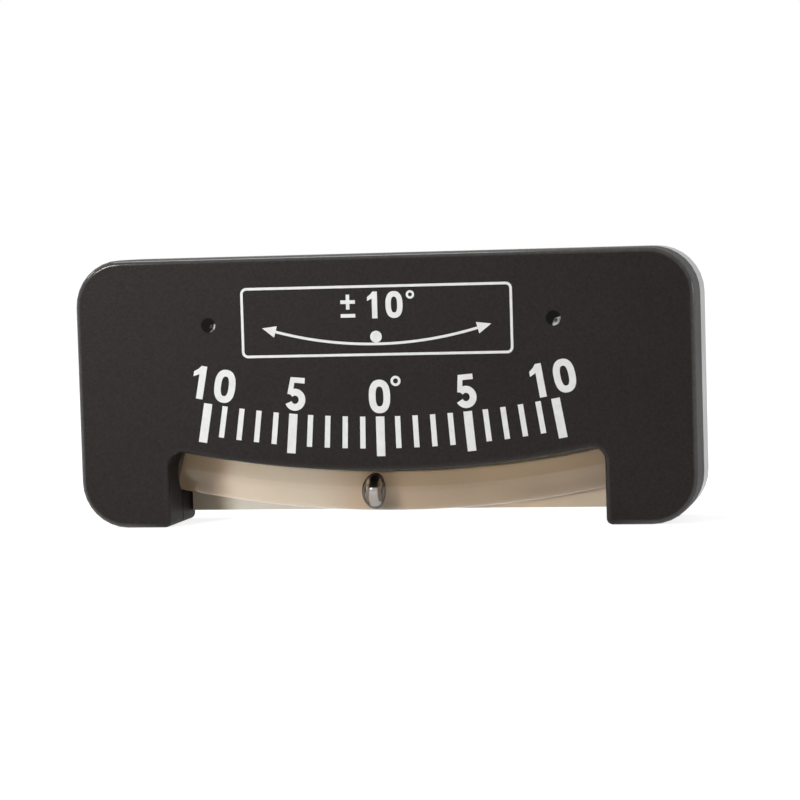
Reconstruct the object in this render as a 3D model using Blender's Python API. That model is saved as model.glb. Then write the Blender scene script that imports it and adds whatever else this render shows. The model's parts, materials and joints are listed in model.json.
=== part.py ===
"""A ball clinometer for angles up to ten degrees either way of level.

A steel ball rolls in a clear tube that is bent to a long arc. A black two-part
housing holds the tube's ends in its two feet, and its front is cut away under a
matching arch, so that the ball is read against a scale over the arch.

Metres, +Z up, the front to -Y. The origin is under the middle of the part, on
the surface that the feet stand on. A depth is measured back from the front face.
"""

import math

import bpy
import bmesh
from mathutils import Matrix, Vector

# The housing as a whole
WIDTH = 0.1016
HEIGHT = 0.0439
DEPTH = 0.0159
CORNER_R = 0.0076
FRONT_EDGE_R = 0.0009
REAR_EDGE_R = 0.0008
GAP = 0.0003

# Walls of the two mouldings
WALL = 0.0020
FRONT_WALL = 0.0022
BACK_WALL = 0.0018
SEAM_SHARE = 0.5
LIP_WALL = 0.0009
LIP_HEIGHT = 0.0012
OVERLAP = 0.0004
OVERRUN = 0.0020

# The feet and the window between them
FOOT_WIDTH = 0.0149
FOOT_CORNER_R = 0.0010
WINDOW_CORNER_R = 0.0020
ARCH_CLEARANCE = 0.000925

# The ball's path, the tube and the ball
PATH_R = 0.1771
PATH_HEIGHT = 0.0049
TUBE_OD = 0.00635
TUBE_WALL = 0.0008
TUBE_OVERHANG = 0.0006
BALL_CLEARANCE = 0.00039
READING_DEG = -1.10

# Plugs and sealing rings in the tube's ends
PLUG_HIDE = 0.0005
PLUG_HEAD_T = 0.0014
PLUG_CHAMFER = 0.0003
SEAL_SECTION = 0.00072
SEAL_CLEARANCE = 0.00015
SEAL_PLACE_SHARE = 0.45

# Rubber collars round the tube's ends, and the pockets that hold them
COLLAR_T = 0.0022
COLLAR_HEIGHT = 0.0096
COLLAR_EDGE = 0.0004
POCKET_RIB = 0.0010

# Backing plate behind the tube, and the cover's panel behind the plate
PLATE_T = 0.0010
PLATE_LIFT = 0.0016
PLATE_CLEARANCE = 0.0005
PANEL_T = 0.0014
PANEL_SET_IN = 0.0002

# Screws from behind, into bosses at the four corners
BOSS_R = 0.0023
BOSS_CLEARANCE = 0.00033
SINK_WALL = 0.0006
SCREW_R = 0.0011
SCREW_HEAD_R = 0.0019
SCREW_HEAD_T = 0.0013
SCREW_TIP = 0.0009
HEAD_RECESS = 0.0021
PILOT_DEPTH_SHARE = 0.8
TIP_ROOM = 0.0012

# The two drill marks on the face, and the solid posts behind them
MARK_SPACING = 0.0566
MARK_DROP = 0.0109
MARK_R = 0.0012
MARK_DEPTH = 0.0009
POST_R = 0.0030

# Stiffening ribs inside both mouldings
RIB_T = 0.0010
RIB_HEIGHT = 0.0022
RIB_SPACING = 0.0145
RIB_COUNT = 3

# Adhesive pads, each in a shallow recess of the back
PAD_T = 0.0011
PAD_PROUD = 0.0006
PAD_FROM_MIDDLE = 0.0075
PAD_TO_SCREW = 0.0056
PAD_BASE = 0.0165
PAD_DROP = 0.0059
PAD_CORNER_R = 0.0020

# Directions on the face, and facets
TO_RIGHT = 0.0
TO_TOP = math.pi / 2
TO_LEFT = math.pi
TO_BOTTOM = 3 * math.pi / 2
CORNER_STEPS = 8
SMALL_STEPS = 5
ARCH_STEPS = 24
EDGE_STEPS = 4
TUBE_STEPS = 36
TUBE_SIDES = 20
ROUND_SIDES = 24
BALL_RINGS = 12
SMALLEST_R = 0.0001

# Sizes and places that follow from those above
TUBE_BORE = TUBE_OD - 2 * TUBE_WALL
BALL_D = TUBE_BORE - 2 * BALL_CLEARANCE
FRONT_Y = -(DEPTH + PAD_PROUD) / 2
PANEL_DEPTH = DEPTH - PANEL_SET_IN - PANEL_T
PLATE_DEPTH = PANEL_DEPTH - GAP - PLATE_T
PATH_DEPTH = PLATE_DEPTH - PLATE_CLEARANCE - TUBE_OD / 2
PATH_Y = FRONT_Y + PATH_DEPTH
PATH_Z = PATH_HEIGHT + PATH_R
ARCH_R = PATH_R - TUBE_OD / 2 - ARCH_CLEARANCE
WINDOW_HALF = WIDTH / 2 - FOOT_WIDTH
FOOT_HOLLOW_X = WINDOW_HALF + WALL
SEAM_DEPTH = DEPTH * SEAM_SHARE
FRONT_RIM_DEPTH = SEAM_DEPTH - GAP / 2
REAR_RIM_DEPTH = SEAM_DEPTH + GAP / 2
BACK_WALL_DEPTH = DEPTH - BACK_WALL
TUBE_END_X = FOOT_HOLLOW_X + GAP + COLLAR_T + TUBE_OVERHANG
TUBE_HALF_ANGLE = math.asin(TUBE_END_X / PATH_R)
PLUG_FACE_ANGLE = math.asin((WINDOW_HALF + PLUG_HIDE) / PATH_R)
PILOT_DEPTH = FRONT_RIM_DEPTH - PILOT_DEPTH_SHARE * (FRONT_RIM_DEPTH - FRONT_WALL)
SEAT_DEPTH = DEPTH - HEAD_RECESS
SCREW_LENGTH = SEAT_DEPTH + GAP - PILOT_DEPTH - TIP_ROOM
BOSS_TO_CORNER = CORNER_R - WALL - BOSS_CLEARANCE - BOSS_R
SCREW_INSET = CORNER_R - BOSS_TO_CORNER * math.sqrt(1 / 2)
PAD_END = WIDTH / 2 - SCREW_INSET - SCREW_HEAD_R - GAP - PAD_TO_SCREW
SIDES = (("left", -1), ("right", 1))


def clear_scene():
    """Removes whatever the file opened with."""
    for old in list(bpy.data.objects):
        bpy.data.objects.remove(old, do_unlink=True)


def finish_material(name, colour, roughness, metallic=0.0, transmission=0.0):
    """A Principled material with the piece's own colour and gloss."""
    material = bpy.data.materials.new(name)
    material.use_nodes = True
    shader = material.node_tree.nodes["Principled BSDF"]
    shader.inputs["Base Color"].default_value = (*colour, 1.0)
    shader.inputs["Roughness"].default_value = roughness
    shader.inputs["Metallic"].default_value = metallic
    shader.inputs["Transmission Weight"].default_value = transmission
    return material


def add_object(name, mesh, material=None):
    """Links a mesh to the scene under a name, with its material."""
    piece = bpy.data.objects.new(name, mesh)
    bpy.context.scene.collection.objects.link(piece)
    if material:
        mesh.materials.append(material)
    return piece


def mesh_from(name, points, faces, smooth=True):
    """A mesh of points and faces with its faces turned outwards."""
    mesh = bpy.data.meshes.new(name)
    mesh.from_pydata(points, [], faces)
    shape = bmesh.new()
    shape.from_mesh(mesh)
    bmesh.ops.recalc_face_normals(shape, faces=shape.faces)
    shape.to_mesh(mesh)
    shape.free()
    if smooth:
        mesh.shade_smooth()
        mesh.set_sharp_from_angle(angle=math.radians(35))
    return mesh


def combine(target, tool, operation):
    """A Boolean of a helper object on a piece. The helper never renders."""
    tool.hide_render = True
    tool.display_type = "WIRE"
    cut = target.modifiers.new(operation.lower() + "_" + tool.name, "BOOLEAN")
    cut.operation = operation
    cut.solver = "EXACT"
    cut.object = tool


def loft_faces(ring_count, points_per_ring):
    """Quads between neighbouring rings and a cap on the first and the last."""
    faces = [list(range(points_per_ring))]
    for ring in range(ring_count - 1):
        for i in range(points_per_ring):
            j = (i + 1) % points_per_ring
            low = ring * points_per_ring
            high = low + points_per_ring
            faces.append((low + i, low + j, high + j, high + i))
    faces.append(list(range((ring_count - 1) * points_per_ring, ring_count * points_per_ring)))
    return faces


def loft(name, outline, stations):
    """A closed solid through an outline taken at (inset, depth) stations."""
    points = []
    for inset, depth in stations:
        points += [(x, FRONT_Y + depth, z) for x, z in outline(inset)]
    return mesh_from(name, points, loft_faces(len(stations), len(points) // len(stations)))


def prism(name, outline, start, end):
    """A closed solid of one outline between two depths."""
    return loft(name, lambda inset: outline, ((0, start), (0, end)))


def merged(name, meshes):
    """One helper object of several solids that don't touch each other."""
    shape = bmesh.new()
    for mesh in meshes:
        shape.from_mesh(mesh)
    joined = bpy.data.meshes.new(name)
    shape.to_mesh(joined)
    shape.free()
    return add_object(name, joined)


def arc(centre, radius, start, end, steps):
    """Points (x, z) on a circle of the face plane between two angles in radians."""
    turns = [start + (end - start) * i / steps for i in range(steps + 1)]
    return [(centre[0] + radius * math.cos(t), centre[1] + radius * math.sin(t)) for t in turns]


def quarter(centre, radius, start, steps):
    """A quarter circle from the angle start on, anticlockwise."""
    return arc(centre, radius, start, start + math.pi / 2, steps)


def window_fillet():
    """Centre (x, z) of the right-hand fillet between foot and arch, and its direction from the arch's centre."""
    x = WINDOW_HALF - WINDOW_CORNER_R
    reach = ARCH_R + WINDOW_CORNER_R
    return (x, PATH_Z - math.sqrt(reach**2 - x**2)), math.asin(x / reach)


def case_outline(inset):
    """The arched outline of the case, moved inwards by inset, anticlockwise from the right foot."""
    left, right = inset - WIDTH / 2, WIDTH / 2 - inset
    low, high = inset, HEIGHT - inset
    foot = WINDOW_HALF + inset
    outer_r = CORNER_R - inset
    foot_r = max(FOOT_CORNER_R - inset, SMALLEST_R)
    (fillet_x, fillet_z), lean = window_fillet()
    fillet_r = WINDOW_CORNER_R + inset
    outline = quarter((foot + foot_r, low + foot_r), foot_r, TO_LEFT, SMALL_STEPS)
    outline += quarter((right - outer_r, low + outer_r), outer_r, TO_BOTTOM, CORNER_STEPS)
    outline += quarter((right - outer_r, high - outer_r), outer_r, TO_RIGHT, CORNER_STEPS)
    outline += quarter((left + outer_r, high - outer_r), outer_r, TO_TOP, CORNER_STEPS)
    outline += quarter((left + outer_r, low + outer_r), outer_r, TO_LEFT, CORNER_STEPS)
    outline += quarter((-foot - foot_r, low + foot_r), foot_r, TO_BOTTOM, SMALL_STEPS)
    outline += arc((-fillet_x, fillet_z), fillet_r, TO_LEFT, TO_TOP - lean, SMALL_STEPS)
    sweep = arc((0, PATH_Z), ARCH_R - inset, TO_BOTTOM - lean, TO_BOTTOM + lean, ARCH_STEPS)
    outline += sweep[1:-1]
    outline += arc((fillet_x, fillet_z), fillet_r, TO_TOP + lean, TO_RIGHT, SMALL_STEPS)
    return outline


def rounded_rectangle(left, right, low, high, radius):
    """An outline with four round corners, anticlockwise."""
    outline = quarter((left + radius, low + radius), radius, TO_LEFT, SMALL_STEPS)
    outline += quarter((right - radius, low + radius), radius, TO_BOTTOM, SMALL_STEPS)
    outline += quarter((right - radius, high - radius), radius, TO_RIGHT, SMALL_STEPS)
    outline += quarter((left + radius, high - radius), radius, TO_TOP, SMALL_STEPS)
    return outline


def mirrored(outline, way):
    """The outline for the left or right side, anticlockwise either way."""
    return outline if way > 0 else [(-x, z) for x, z in reversed(outline)]


def under_arch(margin, low):
    """The outline of a panel in the window, margin smaller than the opening all round, from the height low."""
    (fillet_x, fillet_z), lean = window_fillet()
    half_width = WINDOW_HALF - margin
    fillet_r = WINDOW_CORNER_R - margin
    outline = [(-half_width, low), (half_width, low)]
    outline += arc((fillet_x, fillet_z), fillet_r, TO_RIGHT, TO_TOP + lean, SMALL_STEPS)
    sweep = arc((0, PATH_Z), ARCH_R + margin, TO_BOTTOM + lean, TO_BOTTOM - lean, ARCH_STEPS)
    outline += sweep[1:-1]
    outline += arc((-fillet_x, fillet_z), fillet_r, TO_TOP - lean, TO_LEFT, SMALL_STEPS)
    return outline


def path_point(angle):
    """The point of the ball's path that lies angle from its lowest point, towards +X."""
    return Vector((PATH_R * math.sin(angle), PATH_Y, PATH_Z - PATH_R * math.cos(angle)))


def path_rings(radius, start, end):
    """Rings of points round the path between two angles."""
    points = []
    for step in range(TUBE_STEPS + 1):
        angle = start + (end - start) * step / TUBE_STEPS
        outward = Vector((math.sin(angle), 0, -math.cos(angle)))
        for side in range(TUBE_SIDES):
            t = 2 * math.pi * side / TUBE_SIDES
            offset = outward * math.cos(t) + Vector((0, math.sin(t), 0))
            points.append(path_point(angle) + radius * offset)
    return points


def path_rod(name, radius, start, end):
    """A solid rod along the path, for cutting channels."""
    return mesh_from(name, path_rings(radius, start, end), loft_faces(TUBE_STEPS + 1, TUBE_SIDES))


def turned(name, profile):
    """A solid turned about local +Z through (radius, height) pairs. It ends flat, or in a point at radius 0."""
    points, rings, faces = [], [], []
    for radius, height in profile:
        sides = ROUND_SIDES if radius else 1
        rings.append(range(len(points), len(points) + sides))
        for side in range(sides):
            t = 2 * math.pi * side / sides
            points.append((radius * math.cos(t), radius * math.sin(t), height))
    for low, high in zip(rings, rings[1:]):
        for i in range(ROUND_SIDES):
            j = (i + 1) % ROUND_SIDES
            corners = (low[i % len(low)], low[j % len(low)], high[j % len(high)], high[i % len(high)])
            faces.append(list(dict.fromkeys(corners)))
    faces += [list(ring) for ring in (rings[0], rings[-1]) if len(ring) > 1]
    return mesh_from(name, points, faces)


def along_depth(mesh, x, z, depth):
    """Lays a turned mesh with its local +Z pointing back, its origin at (x, z) and the depth."""
    mesh.transform(Matrix.Translation((x, FRONT_Y + depth, z)) @ Matrix.Rotation(-math.pi / 2, 4, "X"))
    return mesh


def rod(name, radius, x, z, start, end):
    """A cylinder across the case between two depths."""
    return along_depth(turned(name, ((radius, 0), (radius, end - start))), x, z, start)


def screw_places():
    """(x, z) of the four screws, one near each corner of the case."""
    x = WIDTH / 2 - SCREW_INSET
    return [(way * x, z) for z in (HEIGHT - SCREW_INSET, SCREW_INSET) for _, way in SIDES]


def mark_places():
    """(x, z) of the two drill marks."""
    return [(way * MARK_SPACING / 2, HEIGHT - MARK_DROP) for _, way in SIDES]


def collar_height():
    """Height of the path at the middle of a collar."""
    return path_point(math.asin((FOOT_HOLLOW_X + GAP + COLLAR_T / 2) / PATH_R)).z


def pocket_outline(way):
    """The C-shaped rib that grows from a foot's inner wall round a collar."""
    start = FOOT_HOLLOW_X - OVERLAP
    stop = FOOT_HOLLOW_X + COLLAR_T + 2 * GAP
    half = COLLAR_HEIGHT / 2 + GAP
    low, high = collar_height() - half, collar_height() + half
    outer = [(start, low - POCKET_RIB), (stop + POCKET_RIB, low - POCKET_RIB)]
    outer += [(stop + POCKET_RIB, high + POCKET_RIB), (start, high + POCKET_RIB)]
    inner = [(start, high), (stop, high), (stop, low), (start, low)]
    return mirrored(outer + inner, way)


def ribs(name, start, end):
    """Upright stiffening ribs between the arch and the top wall."""
    meshes = []
    for i in range(RIB_COUNT):
        x = (i - (RIB_COUNT - 1) / 2) * RIB_SPACING
        low = PATH_Z - math.sqrt((ARCH_R - WALL / 2) ** 2 - x**2)
        corners = ((x - RIB_T / 2, low), (x + RIB_T / 2, low))
        corners += ((x + RIB_T / 2, HEIGHT - WALL / 2), (x - RIB_T / 2, HEIGHT - WALL / 2))
        meshes.append(prism(name, corners, start, end))
    return meshes


def tube_channels(name):
    """The space of the tube and its plugs with clearance, cut from both mouldings."""
    reach = 2 * PLUG_HEAD_T / PATH_R
    tube = path_rod(name, TUBE_OD / 2 + GAP, -TUBE_HALF_ANGLE - reach, TUBE_HALF_ANGLE + reach)
    return merged(name, [tube])


def edge_stations(radius, from_front):
    """(inset, depth) along a quarter-round edge of the front or the back face."""
    stations = []
    for step in range(EDGE_STEPS + 1):
        t = math.pi / 2 * step / EDGE_STEPS
        inset, depth = radius * (1 - math.sin(t)), radius * (1 - math.cos(t))
        stations.append((inset, depth if from_front else DEPTH - depth))
    return stations if from_front else stations[::-1]


def make_front_housing(channels):
    """Front moulding: printed face, arched window, rebate for the cover's lip, bosses and pockets."""
    rebate = WALL - LIP_WALL - GAP
    rebate_depth = FRONT_RIM_DEPTH - LIP_HEIGHT - GAP
    stations = edge_stations(FRONT_EDGE_R, True)
    stations += [(0, FRONT_RIM_DEPTH), (rebate, FRONT_RIM_DEPTH), (rebate, rebate_depth)]
    stations += [(WALL, rebate_depth), (WALL, FRONT_WALL)]
    material = finish_material("black_moulded_plastic", (0.035, 0.032, 0.030), 0.55)
    housing = add_object("front_housing", loft("front_housing", case_outline, stations), material)
    base = FRONT_WALL - OVERLAP
    grown = [rod("boss", BOSS_R, x, z, base, FRONT_RIM_DEPTH) for x, z in screw_places()]
    grown += [rod("post", POST_R, x, z, base, FRONT_RIM_DEPTH) for x, z in mark_places()]
    grown += ribs("front_rib", base, FRONT_WALL + RIB_HEIGHT)
    combine(housing, merged("front_growth", grown), "UNION")
    pockets = [prism("pocket", pocket_outline(way), base, rebate_depth - GAP) for _, way in SIDES]
    combine(housing, merged("front_pockets", pockets), "UNION")
    combine(housing, channels, "DIFFERENCE")
    holes = [rod("pilot", SCREW_R + GAP, x, z, PILOT_DEPTH, DEPTH) for x, z in screw_places()]
    holes += [drill_mark(x, z) for x, z in mark_places()]
    combine(housing, merged("front_holes", holes), "DIFFERENCE")
    return housing


def drill_mark(x, z):
    """A cone with its point inside the front wall, for one drill mark."""
    slope = MARK_R / MARK_DEPTH
    profile = ((MARK_R + OVERRUN * slope, -OVERRUN), (0, MARK_DEPTH))
    return along_depth(turned("drill_mark", profile), x, z, 0)


def make_rear_cover(channels):
    """Rear moulding: walls with a locating lip, back wall, window panel, bosses and pad recesses."""
    lip_inset = WALL - LIP_WALL
    lip_depth = REAR_RIM_DEPTH - LIP_HEIGHT
    stations = [(WALL, BACK_WALL_DEPTH), (WALL, lip_depth), (lip_inset, lip_depth)]
    stations += [(lip_inset, REAR_RIM_DEPTH), (0, REAR_RIM_DEPTH)]
    stations += edge_stations(REAR_EDGE_R, False)
    material = finish_material("black_moulded_cover", (0.030, 0.028, 0.027), 0.5)
    cover = add_object("rear_cover", loft("rear_cover", case_outline, stations), material)
    outline = under_arch(-WALL / 2, PLATE_LIFT)
    panel = prism("window_panel", outline, PANEL_DEPTH, PANEL_DEPTH + PANEL_T)
    combine(cover, merged("cover_panel", [panel]), "UNION")
    base = BACK_WALL_DEPTH + OVERLAP
    boss_r = SCREW_HEAD_R + GAP + SINK_WALL
    grown = [rod("boss", boss_r, x, z, REAR_RIM_DEPTH, base) for x, z in screw_places()]
    grown += [rod("post", POST_R, x, z, REAR_RIM_DEPTH, base) for x, z in mark_places()]
    grown += ribs("rear_rib", BACK_WALL_DEPTH - RIB_HEIGHT, base)
    combine(cover, merged("rear_growth", grown), "UNION")
    pockets = [prism("pocket", pocket_outline(way), REAR_RIM_DEPTH + GAP, base) for _, way in SIDES]
    combine(cover, merged("rear_pockets", pockets), "UNION")
    combine(cover, channels, "DIFFERENCE")
    cuts = [screw_hole(x, z) for x, z in screw_places()]
    cuts += [prism("pad_recess", pad_outline(way, GAP), pad_floor(), DEPTH + OVERRUN) for _, way in SIDES]
    combine(cover, merged("rear_recesses", cuts), "DIFFERENCE")
    return cover


def screw_hole(x, z):
    """Stepped hole through the cover: clearance for the screw, then a wider sink for its head."""
    end = DEPTH + OVERRUN
    hole_r, sink_r = SCREW_R + GAP, SCREW_HEAD_R + GAP
    profile = ((hole_r, 0), (hole_r, SEAT_DEPTH), (sink_r, SEAT_DEPTH), (sink_r, end))
    return along_depth(turned("screw_hole", profile), x, z, 0)


def pad_floor():
    """Depth of the floor of a pad's recess."""
    return DEPTH + PAD_PROUD - PAD_T - GAP


def pad_outline(way, margin):
    """A pad's outline, grown by a margin."""
    left, right = PAD_FROM_MIDDLE - margin, PAD_END + margin
    low, high = PAD_BASE - margin, HEIGHT - PAD_DROP + margin
    return mirrored(rounded_rectangle(left, right, low, high, PAD_CORNER_R + margin), way)


def make_backing_plate():
    """Pale plate behind the tube, which the ball shows up against."""
    material = finish_material("cream_backing", (0.72, 0.62, 0.48), 0.45)
    mesh = prism("backing_plate", under_arch(GAP, PLATE_LIFT), PLATE_DEPTH, PLATE_DEPTH + PLATE_T)
    return add_object("backing_plate", mesh, material)


def make_vial_tube():
    """Clear tube bent to the arc, open at both ends."""
    material = finish_material("clear_acrylic", (0.90, 0.88, 0.80), 0.03, transmission=1.0)
    outside = path_rings(TUBE_OD / 2, -TUBE_HALF_ANGLE, TUBE_HALF_ANGLE)
    inside = path_rings(TUBE_BORE / 2, -TUBE_HALF_ANGLE, TUBE_HALF_ANGLE)
    shift = len(outside)
    walls = loft_faces(TUBE_STEPS + 1, TUBE_SIDES)[1:-1]
    faces = walls + [tuple(i + shift for i in face) for face in walls]
    for start in (0, TUBE_STEPS * TUBE_SIDES):
        for i in range(TUBE_SIDES):
            j = (i + 1) % TUBE_SIDES
            faces.append((start + i, start + j, shift + start + j, shift + start + i))
    return add_object("vial_tube", mesh_from("vial_tube", outside + inside, faces), material)


def on_path(angle, way):
    """Matrix that puts local +Z along the path, outwards to one side, at an angle from the lowest point."""
    place = Matrix.Translation(path_point(way * angle))
    return place @ Matrix.Rotation(-way * angle, 4, "Y") @ Matrix.Rotation(way * math.pi / 2, 4, "Y")


def plug_lengths():
    """(spigot length, height of the ring's groove over the plug's face)."""
    spigot = (TUBE_HALF_ANGLE - PLUG_FACE_ANGLE) * PATH_R + GAP
    return spigot, spigot * SEAL_PLACE_SHARE


def make_end_plug(side, way):
    """Stepped plug: a spigot with a ring groove in the bore and a head over the tube's end."""
    material = finish_material(side + "_plug_plastic", (0.05, 0.05, 0.05), 0.4)
    spigot, groove = plug_lengths()
    neck_r = TUBE_BORE / 2 - GAP
    groove_r = TUBE_BORE / 2 - 2 * SEAL_CLEARANCE - SEAL_SECTION
    head_r = TUBE_OD / 2
    top = spigot + PLUG_HEAD_T
    half = SEAL_SECTION / 2 + SEAL_CLEARANCE
    profile = [(neck_r - PLUG_CHAMFER, 0), (neck_r, PLUG_CHAMFER), (neck_r, groove - half)]
    profile += [(groove_r, groove - half), (groove_r, groove + half), (neck_r, groove + half)]
    profile += [(neck_r, spigot), (head_r, spigot), (head_r, top - PLUG_CHAMFER)]
    profile += [(head_r - PLUG_CHAMFER, top)]
    mesh = turned(side + "_end_plug", profile)
    mesh.transform(on_path(PLUG_FACE_ANGLE, way))
    return add_object(side + "_end_plug", mesh, material)


def make_plug_seal(side, way):
    """Rubber ring in the plug's groove."""
    material = finish_material(side + "_seal_rubber", (0.02, 0.02, 0.02), 0.8)
    ring_r = TUBE_BORE / 2 - SEAL_CLEARANCE - SEAL_SECTION / 2
    points, sides = [], TUBE_SIDES // 2
    for step in range(ROUND_SIDES):
        t = 2 * math.pi * step / ROUND_SIDES
        for side_step in range(sides):
            u = 2 * math.pi * side_step / sides
            reach = ring_r + SEAL_SECTION / 2 * math.cos(u)
            height = SEAL_SECTION / 2 * math.sin(u)
            points.append((reach * math.cos(t), reach * math.sin(t), height))
    faces = []
    for step in range(ROUND_SIDES):
        near, far = step * sides, (step + 1) % ROUND_SIDES * sides
        for i in range(sides):
            j = (i + 1) % sides
            faces.append((near + i, near + j, far + j, far + i))
    mesh = mesh_from(side + "_plug_seal", points, faces)
    mesh.transform(on_path(PLUG_FACE_ANGLE, way) @ Matrix.Translation((0, 0, plug_lengths()[1])))
    return add_object(side + "_plug_seal", mesh, material)


def make_tube_cushion(side, way, channels):
    """Rubber collar that holds one end of the tube in a foot."""
    material = finish_material(side + "_cushion_rubber", (0.03, 0.03, 0.03), 0.85)
    start, middle = FOOT_HOLLOW_X + GAP, collar_height()
    low, high = middle - COLLAR_HEIGHT / 2, middle + COLLAR_HEIGHT / 2
    outline = [(start, low), (start + COLLAR_T, low), (start + COLLAR_T, high), (start, high)]
    front, back = FRONT_WALL + GAP, BACK_WALL_DEPTH - GAP
    mesh = prism(side + "_tube_cushion", mirrored(outline, way), front, back)
    cushion = add_object(side + "_tube_cushion", mesh, material)
    edge = cushion.modifiers.new("soft_edges", "BEVEL")
    edge.width = COLLAR_EDGE
    edge.segments = 2
    edge.limit_method = "ANGLE"
    combine(cushion, channels, "DIFFERENCE")
    return cushion


def make_ball():
    """Steel ball, hung from an empty on the axis that its path turns about."""
    material = finish_material("polished_steel", (0.50, 0.50, 0.52), 0.08, metallic=1.0)
    axis = bpy.data.objects.new("ball_path_axis", None)
    axis.location = (0, PATH_Y, PATH_Z)
    bpy.context.scene.collection.objects.link(axis)
    radius = BALL_D / 2
    slopes = [math.pi * (i / BALL_RINGS - 1 / 2) for i in range(1, BALL_RINGS)]
    profile = [(0, -radius), *((radius * math.cos(t), radius * math.sin(t)) for t in slopes), (0, radius)]
    mesh = turned("ball", profile)
    mesh.transform(Matrix.Translation((0, 0, -PATH_R)))
    ball = add_object("ball", mesh, material)
    ball.parent = axis
    axis.rotation_euler = (0, -math.radians(READING_DEG), 0)
    return ball


def make_screw(name, x, z, material):
    """Self-tapping screw with a low domed head, driven in from behind."""
    crown = SCREW_HEAD_T / 3
    profile = [(SCREW_R - SCREW_TIP / 2, 0), (SCREW_R, SCREW_TIP)]
    profile += [(SCREW_R, SCREW_LENGTH), (SCREW_HEAD_R, SCREW_LENGTH)]
    profile += [(SCREW_HEAD_R, SCREW_LENGTH + SCREW_HEAD_T - crown)]
    profile += [(SCREW_HEAD_R * math.sqrt(1 / 2), SCREW_LENGTH + SCREW_HEAD_T)]
    mesh = along_depth(turned(name, profile), x, z, PILOT_DEPTH + TIP_ROOM)
    return add_object(name, mesh, material)


def make_pad(side, way):
    """Foam pad with adhesive on both faces, which fixes the part to a surface behind it."""
    material = finish_material(side + "_foam_tape", (0.10, 0.10, 0.10), 0.95)
    front = pad_floor() + GAP
    mesh = prism(side + "_adhesive_pad", pad_outline(way, 0), front, front + PAD_T)
    return add_object(side + "_adhesive_pad", mesh, material)


def main():
    clear_scene()
    channels = tube_channels("tube_channels")
    make_front_housing(channels)
    make_rear_cover(channels)
    make_backing_plate()
    make_vial_tube()
    make_ball()
    for side, way in SIDES:
        make_end_plug(side, way)
        make_plug_seal(side, way)
        make_tube_cushion(side, way, channels)
        make_pad(side, way)
    steel = finish_material("plated_screw_steel", (0.55, 0.55, 0.55), 0.3, metallic=1.0)
    for number, (x, z) in enumerate(screw_places(), 1):
        make_screw(f"cover_screw_{number}", x, z, steel)


main()
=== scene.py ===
# %% [markdown]
# # A ball clinometer
# A black two-part case stands on two feet. Under its arched window a steel ball rolls in a bent clear tube,
# and a white scale over the arch tells the tilt. The solids come in from the CAD frame, and each cell below
# gives one piece its fine surface or its finish. A depth is measured back from the printed face.

# %% Load the frame
import json
import math
import bmesh
import bpy
import numpy as np
from mathutils import Matrix, Vector


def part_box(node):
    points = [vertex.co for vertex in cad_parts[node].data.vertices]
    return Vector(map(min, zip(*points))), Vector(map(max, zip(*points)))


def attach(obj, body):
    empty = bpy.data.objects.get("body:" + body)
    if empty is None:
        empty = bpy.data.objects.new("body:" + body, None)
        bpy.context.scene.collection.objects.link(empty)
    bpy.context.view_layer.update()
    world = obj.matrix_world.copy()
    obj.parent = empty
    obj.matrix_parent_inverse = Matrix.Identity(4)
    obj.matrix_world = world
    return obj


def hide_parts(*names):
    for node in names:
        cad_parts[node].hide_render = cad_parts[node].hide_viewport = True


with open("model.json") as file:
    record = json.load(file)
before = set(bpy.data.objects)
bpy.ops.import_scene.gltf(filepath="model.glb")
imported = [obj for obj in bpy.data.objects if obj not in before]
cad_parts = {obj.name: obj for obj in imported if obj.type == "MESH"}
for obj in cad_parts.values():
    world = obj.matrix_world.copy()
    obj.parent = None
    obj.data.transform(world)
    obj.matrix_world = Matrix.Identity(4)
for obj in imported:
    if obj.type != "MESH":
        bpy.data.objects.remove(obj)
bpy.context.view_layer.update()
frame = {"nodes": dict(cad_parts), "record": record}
nodes = frame["nodes"]

# %% [markdown]
# ## Sizes from the frame
# The ball hangs from a hinge at the centre of its arc, so the hinge's place and the ball's box give the
# radius of the path and the reading. The tube's own box gives its radius and where it ends. Read from the
# frame like this, the fine surfaces can't drift away from the solids that they cover.

# %% Measure the path, the ball and the tube
MM = 0.001
FRONT_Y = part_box("front_housing")[0].y
BACK_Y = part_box("rear_cover")[1].y
axis = Vector(frame["record"]["behaviour"]["joints"][0]["pos_m"])
ball_low, ball_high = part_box("ball")
ball_centre = (ball_low + ball_high) / 2
BALL_R = (ball_high.x - ball_low.x) / 2
PATH_R = (ball_centre - axis).length
tube_low, tube_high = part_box("vial_tube")
TUBE_R = (tube_high.y - tube_low.y) / 2
TUBE_WALL = 0.80 * MM
BORE_R = TUBE_R - TUBE_WALL
TUBE_END = math.asin(tube_high.x / (PATH_R + TUBE_R))
print("path radius, ball and tube, mm:", [round(size / MM, 2) for size in (PATH_R, 2 * BALL_R, 2 * TUBE_R)])

# %% [markdown]
# ## Grids and closed solids
# Every fine piece here is a row of rings: a profile turned about an axis, carried along an arc, or pulled
# through the depth of the case. Rings that sit in one array need no loop over their points, and their ends
# are closed with one flat face each, or the last ring joins the first. A signed volume tells whether the
# faces look outwards, and turns them if they don't.

# %% Helpers for meshes
def ring_faces(rings, sides, joined=False):
    """Quads between neighbouring rings, where point i of ring r is number r * sides + i."""
    r = np.arange(rings if joined else rings - 1)[:, None]
    i = np.arange(sides)[None, :]
    below, above, j = r * sides, (r + 1) % rings * sides, (i + 1) % sides
    return np.stack((below + i, below + j, above + j, above + i), axis=-1).reshape(-1, 4)


def closed_faces(rings, sides, joined):
    """Faces of a solid made of rings: quads round it, and a flat face on each end unless it is joined."""
    faces = ring_faces(rings, sides, joined).tolist()
    if not joined:
        faces += [list(range(sides))[::-1], list(range((rings - 1) * sides, rings * sides))]
    return faces


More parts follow.
